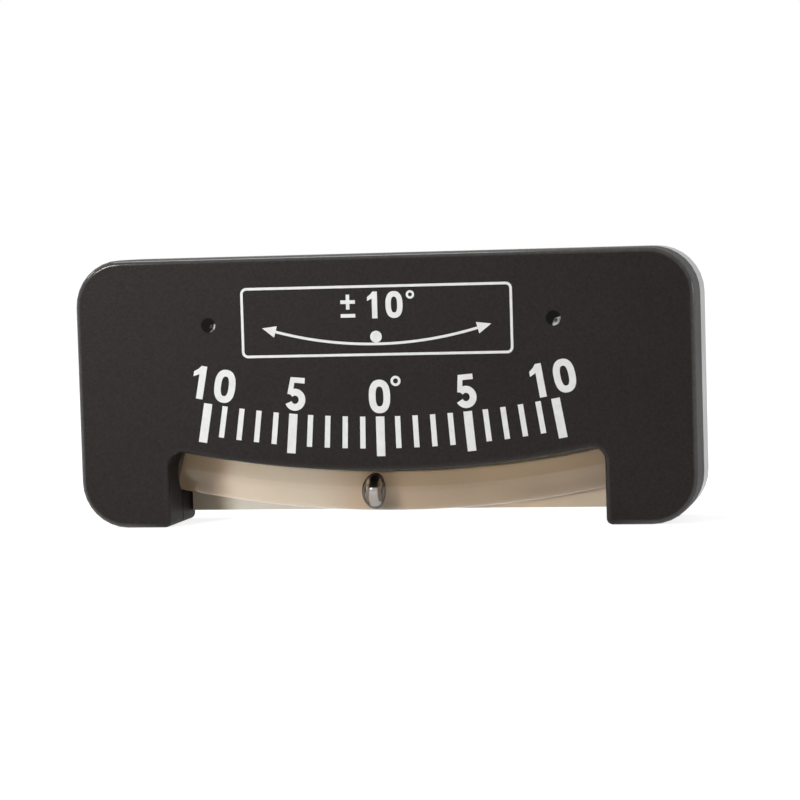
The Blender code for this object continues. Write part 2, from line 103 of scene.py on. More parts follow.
def looks_inwards(points, quads):
    """True if the signed volume, the sum of corner times (corner cross corner) over the faces, is below 0."""
    a, b, c, d = (points[quads[:, k]] for k in range(4))
    spread = np.cross(b - a, c - a) + np.cross(c - a, d - a)
    return float(((a - points.mean(axis=0)) * spread).sum()) < 0


def solid(rings, joined=False):
    """(points, faces) of a closed solid through an array of rings, rings x sides x 3."""
    count, sides = rings.shape[:2]
    points = rings.reshape(-1, 3)
    faces = closed_faces(count, sides, joined)
    if looks_inwards(points, ring_faces(count, sides, joined)):
        faces = [face[::-1] for face in faces]
    return points, faces


def merge(solids):
    """(points, faces) of several solids as one mesh of separate bodies."""
    starts = np.cumsum([0] + [len(points) for points, _ in solids])
    points = np.concatenate([points for points, _ in solids])
    faces = [[int(i + start) for i in face] for (_, part), start in zip(solids, starts) for face in part]
    return points, faces


def add_piece(name, shape, material, sharp=40):
    """An object at the origin from (points, faces), unworn. Creases over the sharp angle stay crisp."""
    points, faces = shape
    mesh = bpy.data.meshes.new(name)
    mesh.from_pydata(points.tolist(), [], faces)
    mesh.materials.append(material)
    mesh.shade_smooth()
    mesh.set_sharp_from_angle(angle=math.radians(sharp))
    mesh.attributes.new("edge", "FLOAT", "POINT")
    piece = bpy.data.objects.new(name, mesh)
    bpy.context.scene.collection.objects.link(piece)
    print(name, len(mesh.polygons), "faces")
    return piece


def place(points, matrix):
    """Points moved by a 4 x 4 matrix."""
    m = np.array(matrix)
    return points @ m[:3, :3].T + m[:3, 3]

# %% [markdown]
# ## Shader groups for finishes
# Moulded plastic, rubber, ink and plated steel differ in colour, but all have fine grain, a slow change of
# tone and wear. Each of these is a node group, built once and given its own numbers in every material. The
# groups read Object coordinates, so a finish stays on its piece when the ball rolls.

# %% Helpers for nodes
def add_node(tree, kind, inputs=None, **settings):
    """A shader node. An input is given a number or colour, or is linked if it is given a socket."""
    made = tree.nodes.new("ShaderNode" + kind)
    for key, value in settings.items():
        setattr(made, key, value)
    for key, value in (inputs or {}).items():
        if isinstance(value, bpy.types.NodeSocket):
            tree.links.new(value, made.inputs[key])
        else:
            made.inputs[key].default_value = value
    return made


def start_group(name, numbers, outputs):
    """A node group with number inputs {name: value} and outputs {name: kind}, and its two end nodes."""
    tree = bpy.data.node_groups.new(name, "ShaderNodeTree")
    for key, value in numbers.items():
        socket = tree.interface.new_socket(key, in_out="INPUT", socket_type="NodeSocketFloat")
        socket.default_value = value
    for key, kind in outputs.items():
        tree.interface.new_socket(key, in_out="OUTPUT", socket_type="NodeSocket" + kind)
    return tree, tree.nodes.new("NodeGroupInput"), tree.nodes.new("NodeGroupOutput")


def use_group(tree, group, **numbers):
    """The group placed in a material with its own numbers."""
    made = tree.nodes.new("ShaderNodeGroup")
    made.node_tree = group
    for key, value in numbers.items():
        made.inputs[key.replace("_", " ")].default_value = value
    return made

# %% [markdown]
# Moulded plastic is dull because the steel mould was blasted: its skin is a field of tiny pits. One fine
# noise makes the pits, one coarse noise makes slow shifts of tone from handling. The wear group reads the
# edge attribute that each piece carries, and breaks it up so that only proud spots look rubbed. On the drill
# marks the same attribute carries a painted glint. The painted light group makes the cream paler over a
# stretch of the window, left of the middle. This is painted light, where light falls in from the left.

# %% Groups: grain, wear and painted light
WEAR_LOW, WEAR_HIGH = 0.42, 0.62


def build_grain():
    """Height = fine noise of the given cells per metre. Tone = slow noise, round 0.5."""
    tree, given, out = start_group("mould_grain", {"Cells": 3000, "Slow cells": 60},
                                   {"Height": "Float", "Tone": "Float"})
    spot = add_node(tree, "TexCoord").outputs["Object"]
    fine = add_node(tree, "TexNoise", {"Vector": spot, "Scale": given.outputs["Cells"],
                                       "Detail": 3.0, "Roughness": 0.6})
    slow = add_node(tree, "TexNoise", {"Vector": spot, "Scale": given.outputs["Slow cells"], "Detail": 4.0})
    tree.links.new(fine.outputs["Fac"], out.inputs["Height"])
    tree.links.new(slow.outputs["Fac"], out.inputs["Tone"])
    return tree


def build_wear_and_glint():
    """Wear and painted glint mask = the edge attribute times a noise that is cut off at a threshold."""
    tree, given, out = start_group("edge_wear_and_glint", {"Cells": 900, "Amount": 0.5}, {"Mask": "Float"})
    edge = add_node(tree, "Attribute", attribute_name="edge")
    spot = add_node(tree, "TexCoord").outputs["Object"]
    noise = add_node(tree, "TexNoise", {"Vector": spot, "Scale": given.outputs["Cells"], "Detail": 4.0})
    cut = add_node(tree, "MapRange", {"Value": noise.outputs["Fac"], "From Min": WEAR_LOW,
                                      "From Max": WEAR_HIGH})
    both = add_node(tree, "Math", {0: edge.outputs["Fac"], 1: cut.outputs["Result"]}, operation="MULTIPLY")
    amount = add_node(tree, "Math", {0: both.outputs[0], 1: given.outputs["Amount"]}, operation="MULTIPLY")
    tree.links.new(amount.outputs[0], out.inputs["Mask"])
    return tree


def build_painted_light():
    """Painted light = a smooth rise times a smooth fall along the object's own X, both in millimetres."""
    numbers = {"Rise from": -31.5, "Rise to": -27, "Fall from": -15, "Fall to": 0}
    tree, given, out = start_group("painted_light_patch", numbers, {"Mask": "Float"})
    across = add_node(tree, "SeparateXYZ", {"Vector": add_node(tree, "TexCoord").outputs["Object"]})
    x = add_node(tree, "Math", {0: across.outputs["X"], 1: 1 / MM}, operation="MULTIPLY").outputs[0]
    ramps = []
    for low, high in (("Rise from", "Rise to"), ("Fall to", "Fall from")):
        limits = {"From Min": given.outputs[low], "From Max": given.outputs[high]}
        ramp = add_node(tree, "MapRange", {"Value": x, **limits}, interpolation_type="SMOOTHSTEP")
        ramps.append(ramp.outputs["Result"])
    both = add_node(tree, "Math", {0: ramps[0], 1: ramps[1]}, operation="MULTIPLY")
    tree.links.new(both.outputs[0], out.inputs["Mask"])
    return tree


grain_group = build_grain()
wear_and_glint_group = build_wear_and_glint()
painted_light_group = build_painted_light()

# %% [markdown]
# One function turns the groups into a whole finish. The tone scales the colour a little and the roughness
# a little, the wear and the painted light mix in other colours, and the grain goes through a Bump node,
# whose distance is the real depth of the pits. Edges that hands polish get a thin clear coat, by the edge
# attribute.

# %% Opaque finishes
TONE_LOW, TONE_HIGH = 0.25, 0.75
FLECK_LOW, FLECK_HIGH = 0.3, 0.7
WEAR_CELLS = 900
POLISH_ROUGHNESS = 0.12


def spread(tree, value, low, high, middle, reach):
    """A value between low and high, mapped to middle - reach up to middle + reach."""
    limits = {"From Min": low, "From Max": high, "To Min": middle - reach, "To Max": middle + reach}
    return add_node(tree, "MapRange", {"Value": value, **limits}).outputs["Result"]


def mix(tree, mask, first, second):
    """The first colour where the mask is 0 and the second where it is 1."""
    return add_node(tree, "Mix", {0: mask, 6: first, 7: (*second, 1)}, data_type="RGBA").outputs[2]


def finish(name, colour, roughness, worn=None, cells=3000, slow=60, pit=0.02 * MM, tone=0.25,
           rough_tone=0.10, wear=0.5, metallic=0.0, specular=0.5, edge_polish=0.0, fleck=0.0,
           painted_light_colour=None, fall_to=0):
    """A Principled material: toned colour, edge wear and painted light, polished edges, a pitted grain."""
    material = bpy.data.materials.new(name)
    material.use_nodes = True
    tree = material.node_tree
    shader = tree.nodes["Principled BSDF"]
    grain = use_group(tree, grain_group, Cells=cells, Slow_cells=slow)
    shade = spread(tree, grain.outputs["Tone"], TONE_LOW, TONE_HIGH, 1, tone)
    dots = spread(tree, grain.outputs["Height"], FLECK_LOW, FLECK_HIGH, 1, fleck)
    light = add_node(tree, "Math", {0: shade, 1: dots}, operation="MULTIPLY")
    tinted = add_node(tree, "VectorMath", {0: colour, "Scale": light.outputs[0]}, operation="SCALE")
    edge = use_group(tree, wear_and_glint_group, Cells=WEAR_CELLS, Amount=wear)
    mixed = mix(tree, edge.outputs["Mask"], tinted.outputs[0], worn or colour)
    # Painted light: over the patch the colour turns to the given paler one, standing in for light.
    if painted_light_colour:
        patch = use_group(tree, painted_light_group, Fall_to=fall_to)
        mixed = mix(tree, patch.outputs["Mask"], mixed, painted_light_colour)
    tree.links.new(mixed, shader.inputs["Base Color"])
    dull = spread(tree, grain.outputs["Tone"], TONE_LOW, TONE_HIGH, roughness, rough_tone / 2)
    tree.links.new(dull, shader.inputs["Roughness"])
    if edge_polish:
        rim = add_node(tree, "Attribute", attribute_name="edge")
        polish = add_node(tree, "Math", {0: rim.outputs["Fac"], 1: edge_polish}, operation="MULTIPLY")
        tree.links.new(polish.outputs[0], shader.inputs["Coat Weight"])
        shader.inputs["Coat Roughness"].default_value = POLISH_ROUGHNESS
    bump = add_node(tree, "Bump", {"Height": grain.outputs["Height"], "Distance": pit, "Strength": 1.0})
    tree.links.new(bump.outputs["Normal"], shader.inputs["Normal"])
    shader.inputs["Metallic"].default_value = metallic
    shader.inputs["Specular IOR Level"].default_value = specular
    return material


face_plastic = finish("black_face_plastic", (0.0135, 0.0105, 0.0094), 0.55, worn=(0.035, 0.032, 0.029),
                      cells=2600, pit=0.05 * MM, specular=0.14, edge_polish=0.9, fleck=0.35)
cover_plastic = finish("black_cover_plastic", (0.012, 0.0105, 0.010), 0.22, worn=(0.04, 0.037, 0.034),
                       pit=0.006 * MM, edge_polish=0.5)
# Painted shade and glint: darker than the face for the shade in each pit, and a light colour for a glint.
mark_shade_and_glint = finish("drill_mark_painted_shade_and_glint", (0.0065, 0.0056, 0.005), 0.6, worn=(0.75, 0.74, 0.72),
                      pit=0.01 * MM, wear=1.0, specular=0.05)

# %% [markdown]
# ## The two mouldings
# The front housing and the rear cover are the hardest pieces to make: an arched outline with a lip and a
# rebate where they meet, pockets for the tube's collars, bosses and ribs. The solids have all of this, so
# the fine piece is a merged copy of each, with its round stretches shaded smooth and its flats kept flat by
# weighted normals. The worn band is worked out from the depth of each point. The two drill marks carry
# painted shade, a colour darker than the face for the shade in each pit, and a painted glint, white at the
# lower right of each rim. The cover is smoother than the front, but its walls inside the window take the
# front's matt finish, because the photograph shows them dark.

# %% Fine mouldings
FRONT_EDGE_R = 0.90 * MM
REAR_EDGE_R = 0.80 * MM
PANEL_SET_IN = 0.20 * MM
MARK_X, MARK_Z = 28.3 * MM, 33.0 * MM
MARK_R = 1.20 * MM
TINY = 0.02 * MM
FLAT_ANGLE = math.radians(0.4)
CREASE_ANGLE = math.radians(30)
WINDOW_HALF, WINDOW_TOP = 38.0 * MM, 15.0 * MM
WINDOW_POLISH = 0.25


def edge_band(points, front_r, rear_r):
    """1 on the round edges of the front and back faces, less on those of the window, and 0 elsewhere."""
    depth, left = points[:, 1] - FRONT_Y, BACK_Y - points[:, 1]
    front = (depth > TINY) & (depth < front_r - TINY)
    rear = (left > TINY) & (left < rear_r - TINY) & (np.abs(left - PANEL_SET_IN) > TINY / 4)
    sheltered = (np.abs(points[:, 0]) < WINDOW_HALF) & (points[:, 2] < WINDOW_TOP)
    return (front | rear) * np.where(sheltered, WINDOW_POLISH, 1)


def from_mark(points):
    """(depth, across, up) of points, the last two measured from the axis of the nearer drill mark."""
    return points[:, 1] - FRONT_Y, points[:, 0] - np.sign(points[:, 0]) * MARK_X, points[:, 2] - MARK_Z


def in_marks(middles):
    """True for a face of a drill mark: its middle lies under the printed face and close to a mark's axis."""
    depth, across, up = from_mark(middles)
    return (np.hypot(across, up) < MARK_R) & (depth > TINY) & (depth < MARK_R)


def painted_glint(points):
    """Painted glint: 1 on the rim of a mark, a quarter turn round its lower right, where across less up is
    large.
    """
    depth, across, up = from_mark(points)
    return (depth < TINY) & (across - up > np.hypot(across, up))


def in_window(middles):
    """True for a face under the arch and between the feet, but for the back face of the case."""
    level = (np.abs(middles[:, 0]) < WINDOW_HALF) & (middles[:, 2] < WINDOW_TOP)
    return level & (BACK_Y - middles[:, 1] > REAR_EDGE_R)


def edge_values(mesh, front_r, rear_r):
    """(edge attribute of each corner of each face, the middle of each face)."""
    points, corner_point = np.zeros(len(mesh.vertices) * 3), np.zeros(len(mesh.loops), np.int32)
    middles, corners = np.zeros(len(mesh.polygons) * 3), np.zeros(len(mesh.polygons), np.int32)
    mesh.vertices.foreach_get("co", points)
    mesh.loops.foreach_get("vertex_index", corner_point)
    mesh.polygons.foreach_get("center", middles)
    mesh.polygons.foreach_get("loop_total", corners)
    points, middles = points.reshape(-1, 3), middles.reshape(-1, 3)
    inside = np.repeat(in_marks(middles), corners)
    # On the drill marks the edge attribute is a painted glint, not the worn band.
    band = np.where(inside, painted_glint(points)[corner_point], edge_band(points, front_r, rear_r)[corner_point])
    return band.astype(np.float32), middles


def moulded(node, name, material, front_r, rear_r, second=None, where=None):
    """A node's mesh merged, with smooth rounds, flat flats, worn edges, and a second material somewhere."""
    mesh = nodes[node].data.copy()
    mesh.name = name
    shape = bmesh.new()
    shape.from_mesh(mesh)
    bmesh.ops.remove_doubles(shape, verts=shape.verts, dist=0.001 * MM)
    bmesh.ops.dissolve_limit(shape, angle_limit=FLAT_ANGLE, verts=shape.verts, edges=shape.edges)
    shape.to_mesh(mesh)
    shape.free()
    mesh.materials.clear()
    mesh.materials.append(material)
    mesh.shade_smooth()
    mesh.set_sharp_from_angle(angle=CREASE_ANGLE)
    band, middles = edge_values(mesh, front_r, rear_r)
    mesh.attributes.new("edge", "FLOAT", "CORNER").data.foreach_set("value", band)
    if second:
        mesh.materials.append(second)
        mesh.polygons.foreach_set("material_index", where(middles).astype(np.int32))
    piece = bpy.data.objects.new(name, mesh)
    bpy.context.scene.collection.objects.link(piece)
    flats = piece.modifiers.new("flat_faces", "WEIGHTED_NORMAL")
    flats.keep_sharp = True
    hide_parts(node)
    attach(piece, "case")
    print(name, len(mesh.polygons), "faces,", np.count_nonzero(band), "corners with wear")
    return piece


housing = moulded("front_housing", "front_housing_moulding", face_plastic, FRONT_EDGE_R, 0,
                  mark_shade_and_glint, in_marks)
cover = moulded("rear_cover", "rear_cover_moulding", cover_plastic, 0, REAR_EDGE_R,
                face_plastic, in_window)

# %% [markdown]
# ## The printed scale
# The scale is white ink, pressed on with a pad: a film a few hundredths of a millimetre thick with crisp
# sides. Each mark is a real raised body. A tick is a short ribbon that points at the centre of the scale's
# arc, and a numeral is one ribbon or polygon that leans with the arc. An image would be quicker, but it
# would blur at the edges of the ink and stop at its own resolution.

# %% Ribbons of ink
INK_T = 0.02 * MM
INK_SINK = 0.01 * MM
PROUD = 0.004 * MM
MITRE_LIMIT = 1.6


def ink_patch(loop):
    """A flat body of one loop of (x, z) points, a hair prouder than a ribbon, so they share no plane."""
    rings = np.zeros((2, len(loop), 3))
    rings[:, :, ::2] = loop
    rings[0, :, 1], rings[1, :, 1] = FRONT_Y - INK_T - PROUD, FRONT_Y + INK_SINK
    return solid(rings)


def ribbon(line, width, joined=False):
    """A strip of even width along (x, z) points: each side is the line shifted along its mitred normal."""
    before = np.roll(line, 1, axis=0) if joined else np.vstack((2 * line[0] - line[1], line[:-1]))
    after = np.roll(line, -1, axis=0) if joined else np.vstack((line[1:], 2 * line[-1] - line[-2]))
    into, out = line - before, after - line
    into /= np.linalg.norm(into, axis=1, keepdims=True)
    out /= np.linalg.norm(out, axis=1, keepdims=True)
    normal = np.stack((-(into + out)[:, 1], (into + out)[:, 0]), axis=1)
    normal /= np.maximum(np.linalg.norm(normal, axis=1, keepdims=True), 1e-9)
    across = np.stack((-into[:, 1], into[:, 0]), axis=1)
    stretch = np.minimum(1 / np.maximum((normal * across).sum(axis=1, keepdims=True), 1e-6), MITRE_LIMIT)
    half = normal * stretch * width / 2
    section = np.zeros((len(line), 4, 3))
    for corner, (side, y) in enumerate(((1, -INK_T), (-1, -INK_T), (-1, INK_SINK), (1, INK_SINK))):
        section[:, corner, ::2] = line + side * half
        section[:, corner, 1] = FRONT_Y + y
    return solid(section, joined)


def ellipse(centre, reach, start, end, count, power=2.0):
    """Points at reach times (cos, sin) of angles in degrees, squared off as power rises over 2."""
    t = np.radians(np.linspace(start, end, count))
    wave = np.stack((np.cos(t), np.sin(t)), axis=1)
    return np.array(centre) + np.array(reach) * np.sign(wave) * np.abs(wave) ** (2 / power)

# %% [markdown]
# The numerals are drawn in a box one unit high and centred on 0. A nought is a closed ribbon round a
# squared ellipse, a one is a polygon with a flag, and a five is a polygon for its bar and stem with a ribbon
# for its bowl.

# %% Numerals
STROKE = 0.205
NOUGHT_HALF, NOUGHT_POWER = 0.222, 2.5
STEM_X = 0.06
BOWL_Z, BOWL_HALF = -0.17, 0.215
BOWL_START, BOWL_END = 138, -155


def nought():
    """A closed ribbon round a squared ellipse."""
    return [("closed", ellipse((0, 0), (NOUGHT_HALF, 0.5 - STROKE / 2), 0, 360, 65, NOUGHT_POWER)[:-1])]


def one():
    """A stem with a flag at its top left, as one polygon."""
    left, right = STEM_X - STROKE / 2, STEM_X + STROKE / 2
    corners = [(left, -0.5), (right, -0.5), (right, 0.5), (STEM_X - 0.35 * STROKE, 0.5)]
    corners += [(left - 0.05, 0.40), (-0.22, 0.30), (-0.22, 0.15), (left, 0.24)]
    return [("polygon", np.array(corners))]


def five():
    """Bar and stem as one polygon, and the bowl as a ribbon that starts inside the stem."""
    corners = [(-0.175, 0.5), (-0.245, -0.01), (-0.095, -0.03), (-0.075, 0.10), (-0.05, 0.335)]
    corners += [(0.265, 0.335), (0.265, 0.5)]
    bowl = ellipse((0.0, BOWL_Z), (BOWL_HALF, 0.5 + BOWL_Z - STROKE / 2), BOWL_START, BOWL_END, 40)
    return [("polygon", np.array(corners)), ("open", bowl)]


DRAW = {"0": nought, "1": one, "5": five}


def write_digit(digit, centre, height, lean=0.0):
    """The digit's ink bodies, scaled to a height, turned by lean anticlockwise and moved to its centre."""
    c, s = math.cos(lean), math.sin(lean)
    turn = np.array(((c, s), (-s, c)))
    made = []
    for kind, shape in DRAW[digit]():
        line = shape * height @ turn + np.array(centre)
        made.append(ink_patch(line) if kind == "polygon" else ribbon(line, STROKE * height, kind == "closed"))
    return made

# %% [markdown]
# White ink on black plastic is never quite white: it is thin, so a little black shows through where the
# pad pressed less, and its surface has the matt skin of dried paint.

# %% White ink
ink = finish("white_pad_ink", (0.80, 0.80, 0.79), 0.60, worn=(0.5, 0.5, 0.49), cells=5000, slow=700,
             pit=0.004 * MM, tone=0.07, specular=0.3)

# %% Scale ticks and numerals
SCALE_X = -0.19 * MM
SCALE_Z = 182.0 * MM
TICK_R = 164.22 * MM
SHORT_TICK, LONG_TICK = 5.15 * MM, 6.40 * MM
SHORT_TICK_W, LONG_TICK_W = 0.87 * MM, 1.40 * MM
NUMERAL_R = 161.0 * MM
NUMERAL_H = 5.40 * MM
DIGITS = (("1", -10.68), ("0", -9.16), ("5", -4.95), ("0", 0.0), ("5", 5.0), ("1", 9.24), ("0", 10.76))
DEGREE_X, DEGREE_Z = SCALE_X + 2.70 * MM, 23.45 * MM
DEGREE_R, DEGREE_LINE = 0.62 * MM, 0.42 * MM


def on_scale(radius, degrees):
    """(x, z) at a radius from the scale's centre, at degrees from the bottom of the arc towards +X."""
    turn = math.radians(degrees)
    return np.array((SCALE_X + radius * math.sin(turn), SCALE_Z - radius * math.cos(turn)))


def tick(degrees):
    """A straight ribbon from the scale's inner radius outwards, longer and wider every five degrees."""
    long = degrees % 5 == 0
    end = TICK_R + (LONG_TICK if long else SHORT_TICK)
    line = np.array((on_scale(TICK_R, degrees), on_scale(end, degrees)))
    return ribbon(line, LONG_TICK_W if long else SHORT_TICK_W)


def degree_sign(x, z, radius, line):
    """A small ring of ink."""
    return ribbon(ellipse((x, z), (radius, radius), 0, 360, 33)[:-1], line, True)


ticks = add_piece("scale_ticks", merge([tick(degrees) for degrees in range(-10, 11)]), ink)
numerals = []
for digit, degrees in DIGITS:
    numerals += write_digit(digit, on_scale(NUMERAL_R, degrees), NUMERAL_H, math.radians(degrees))
numerals.append(degree_sign(DEGREE_X, DEGREE_Z, DEGREE_R, DEGREE_LINE))
figures = add_piece("scale_numerals", merge(numerals), ink)

# %% [markdown]
# Over the scale is a framed field. Its ink here is generic: the range in plain figures, and under them a
# sign for what the instrument does, a ball on a wide arc with an arrow each way.

# %% Framed field
FIELD_LEFT, FIELD_RIGHT = -22.55 * MM, 21.60 * MM
FIELD_LOW, FIELD_HIGH = 27.75 * MM, 38.70 * MM
FIELD_LINE = 0.42 * MM
FIELD_CORNER = 0.80 * MM


def rounded_loop(left, right, low, high, radius, steps=7):
    """A rectangle with round corners, anticlockwise from the lower right."""
    corners = ((right - radius, low + radius, -90), (right - radius, high - radius, 0))
    corners += ((left + radius, high - radius, 90), (left + radius, low + radius, 180))
    return np.vstack([ellipse((x, z), (radius, radius), t, t + 90, steps) for x, z, t in corners])


field = [ribbon(rounded_loop(FIELD_LEFT, FIELD_RIGHT, FIELD_LOW, FIELD_HIGH, FIELD_CORNER), FIELD_LINE, True)]
field_frame = add_piece("field_frame", merge(field), ink)

FIELD_X = (FIELD_LEFT + FIELD_RIGHT) / 2
RANGE_Z = 35.70 * MM
RANGE_H = 4.3 * MM
RANGE_DIGITS = (("1", -0.35 * MM), ("0", 3.10 * MM))
marks = []
for digit, x in RANGE_DIGITS:
    marks += write_digit(digit, (FIELD_X + x, RANGE_Z), RANGE_H)
marks.append(degree_sign(FIELD_X + 5.75 * MM, RANGE_Z + 1.55 * MM, 0.50 * MM, 0.36 * MM))

PLUS_X, PLUS_Z = FIELD_X - 4.5 * MM, RANGE_Z + 0.55 * MM
MINUS_Z = RANGE_Z - 1.65 * MM
BAR_HALF, BAR_LINE = 1.20 * MM, 0.58 * MM


def bar(start, end):
    """A straight stroke of the plus and minus sign, from start to end as measured from the plus."""
    return ribbon(np.array((start, end)) + (PLUS_X, PLUS_Z), BAR_LINE)


marks.append(bar((-BAR_HALF, 0), (BAR_HALF, 0)))
marks.append(bar((0, BAR_LINE / 2), (0, BAR_HALF)))
marks.append(bar((0, -BAR_LINE / 2), (0, -BAR_HALF)))
marks.append(bar((-BAR_HALF, MINUS_Z - PLUS_Z), (BAR_HALF, MINUS_Z - PLUS_Z)))

SIGN_R = 62.0 * MM
SIGN_LOW = 29.45 * MM
SIGN_HALF = 15.5
SIGN_LINE = 0.42 * MM
DOT_R = 0.95 * MM
ARROW_HALF, ARROW_LENGTH = 0.95 * MM, 2.3 * MM
sign_centre = (FIELD_X, SIGN_LOW + SIGN_R)
marks.append(ribbon(ellipse(sign_centre, (SIGN_R, SIGN_R), -90 - SIGN_HALF, -90 + SIGN_HALF, 60), SIGN_LINE))
for way in (-1, 1):
    turn = math.radians(-90 + way * SIGN_HALF)
    outward = np.array((math.cos(turn), math.sin(turn)))
    along = way * np.array((-outward[1], outward[0]))
    base = np.array(sign_centre) + SIGN_R * outward + TINY * along
    ends = (base - ARROW_HALF * outward, base + ARROW_HALF * outward, base + ARROW_LENGTH * along)
    marks.append(ink_patch(ends))
marks.append(ink_patch(ellipse((FIELD_X, SIGN_LOW + SIGN_LINE / 2 + DOT_R), (DOT_R, DOT_R), 0, 360, 41)[:-1]))
sign = add_piece("field_marks", merge(marks), ink)
for piece in (ticks, figures, field_frame, sign):
    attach(piece, "case")

# %% [markdown]
# ## The bent tube
# The tube is clear acrylic, filled to the plugs with a damping fluid that bends light almost as the acrylic
# does. So the bore hardly shows, and tube and fluid act as one thick lens that draws the ball taller. The
# outer wall therefore has the plastic's own index, and the bore a second material that barely bends light.
# The back of the outer wall is painted cream. Left clear, the tube would look greyer, with a dark shape at
# its left end, where the photograph shows warm cream up to the foot. Whether the real tube has such a coat
# isn't known.

# %% Tube surfaces
ARC_STEPS = 120
TUBE_SIDES = 64
COAT_START, COAT_STOP = 6, 26


def along_path(angle, radius, side):
    """Points radius from the path's centre line: angle runs along the arc, side round the section."""
    reach = PATH_R + radius * np.cos(side)
    x = reach * np.sin(angle)
    y = axis.y + radius * np.sin(side) + 0 * angle
    z = axis.z - reach * np.cos(angle)
    return np.stack(np.broadcast_arrays(x, y, z), axis=-1)


def make_tube():
    """Outer wall, end, bore and other end as one closed band of rings, with the bore as a second material."""
    angle = np.linspace(-TUBE_END, TUBE_END, ARC_STEPS + 1)[:, None]
    side = np.linspace(0, 2 * math.pi, TUBE_SIDES, endpoint=False)[None, :]
    outer = along_path(angle, TUBE_R, side)
    bore = along_path(angle[::-1], BORE_R, side)
    return solid(np.concatenate((outer, bore)), joined=True)


def clear(name, ior, colour, roughness):
    """Clear plastic. Shadow rays pass straight through it, so that what is inside is lit."""
    material = bpy.data.materials.new(name)
    material.use_nodes = True
    tree = material.node_tree
    shader = tree.nodes["Principled BSDF"]
    shader.inputs["Base Color"].default_value = (*colour, 1)
    shader.inputs["Roughness"].default_value = roughness
    shader.inputs["IOR"].default_value = ior
    shader.inputs["Transmission Weight"].default_value = 1.0
    rays = add_node(tree, "LightPath")
    through = add_node(tree, "BsdfTransparent", {"Color": (*colour, 1)})
    mixed = add_node(tree, "MixShader", {0: rays.outputs["Is Shadow Ray"]})
    tree.links.new(shader.outputs["BSDF"], mixed.inputs[1])
    tree.links.new(through.outputs["BSDF"], mixed.inputs[2])
    tree.links.new(mixed.outputs["Shader"], tree.nodes["Material Output"].inputs["Surface"])
    return material


acrylic = clear("clear_acrylic", 1.48, (0.98, 0.96, 0.93), 0.02)
fluid = clear("fluid_at_bore", 1.01, (0.985, 0.96, 0.93), 0.0)
# The paler colour is painted light over a stretch left of the middle, not a change in the coat.
enamel = finish("cream_back_enamel", (0.58, 0.455, 0.315), 0.5, cells=1200, slow=120, pit=0.004 * MM,
                tone=0.06, wear=0.0, painted_light_colour=(0.66, 0.595, 0.50), fall_to=-4)
tube = add_piece("vial_tube_glazing", make_tube(), acrylic, 60)
tube.data.materials.append(fluid)
tube.data.materials.append(enamel)
wall_faces = ARC_STEPS * TUBE_SIDES
bore_start = (ARC_STEPS + 1) * TUBE_SIDES
slots = np.zeros(len(tube.data.polygons), np.int32)
slots[bore_start:bore_start + wall_faces] = 1
slots[:wall_faces].reshape(ARC_STEPS, TUBE_SIDES)[:, COAT_START:COAT_STOP] = 2
tube.data.polygons.foreach_set("material_index", slots)
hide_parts("vial_tube")
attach(tube, "case")

# %% [markdown]
# ## The ball
# A bearing ball is ground and lapped until it is a mirror, so its look is all reflection: the white room,
# the cream plate behind and the black case in front. It needs a fine round mesh and hardly any roughness.

# %% Ball
BALL_RINGS, BALL_SIDES = 65, 96
POLE_DEG = 89.9


def make_ball():
    """Rings at even latitudes, radius times cosine, between two tiny end rings that close the poles."""
    latitude = np.radians(np.linspace(-POLE_DEG, POLE_DEG, BALL_RINGS))[:, None]
    turn = np.linspace(0, 2 * math.pi, BALL_SIDES, endpoint=False)[None, :]
    x = np.cos(latitude) * np.cos(turn)
    y = np.cos(latitude) * np.sin(turn)
    z = np.sin(latitude) + 0 * turn
    return solid(np.array(ball_centre) + BALL_R * np.stack((x, y, z), axis=-1))


lapped_steel = finish("lapped_ball_steel", (0.34, 0.325, 0.32), 0.04, cells=900, slow=500,
                      pit=0.0002 * MM, tone=0.03, rough_tone=0.02, wear=0.0, metallic=1.0)
lapped_steel.node_tree.nodes["Principled BSDF"].inputs["Specular Tint"].default_value = (0.05, 0.05, 0.05, 1)
ball = add_piece("bearing_ball", make_ball(), lapped_steel, 60)
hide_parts("ball")
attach(ball, "ball")

# %% [markdown]
# ## The backing plate
# The plate is a plain cream sheet behind the tube. Its piece is a merged copy of its solid in satin paint,
# with a slow change of tone and, as on the back of the tube, a paler patch of painted light.

# %% Backing plate
# Painted light: the paler colour covers a stretch of the window left of the middle, standing in for light.
cream = finish("cream_plate", (0.68, 0.575, 0.44), 0.42, cells=1500, slow=90, pit=0.006 * MM, tone=0.06,
               wear=0.0, painted_light_colour=(0.72, 0.69, 0.62), fall_to=4)
plate = moulded("backing_plate", "backing_plate_sheet", cream, 0, 0)

# %% [markdown]
# ## Plugs and sealing rings
# Each end of the tube is closed by a turned plug with a groove, and a rubber ring in the groove keeps the
# fluid in. They sit in the feet, so only a little shows through the tube. The profile is the radius along
# the plug, its corners are rounded by a short curve each, and it is turned about the path's own direction.

# %% Turned plugs
PLUG_GAP = 0.30 * MM
PLUG_HEAD_T = 1.40 * MM
GROOVE_SHARE = 0.45
RING_R = 0.36 * MM
RING_GAP = 0.15 * MM
DIMPLE_R, DIMPLE_DEPTH = 1.0 * MM, 0.3 * MM
DIMPLE_SLOPE = 0.2 * MM
PLUG_SOFT = 0.15 * MM
SIDE_LIMIT = 0.45
neck_r = BORE_R - PLUG_GAP
plug_face_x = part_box("right_end_plug")[0].x
PLUG_ANGLE = math.asin(plug_face_x / (PATH_R - neck_r))


def on_path(angle, way):
    """Matrix that puts local +Z along the path, outwards to one side, at an angle from its lowest point."""
    turn = way * angle
    spot = (PATH_R * math.sin(turn), axis.y, axis.z - PATH_R * math.cos(turn))
    lean = Matrix.Rotation(-turn, 4, "Y") @ Matrix.Rotation(way * math.pi / 2, 4, "Y")
    return Matrix.Translation(spot) @ lean


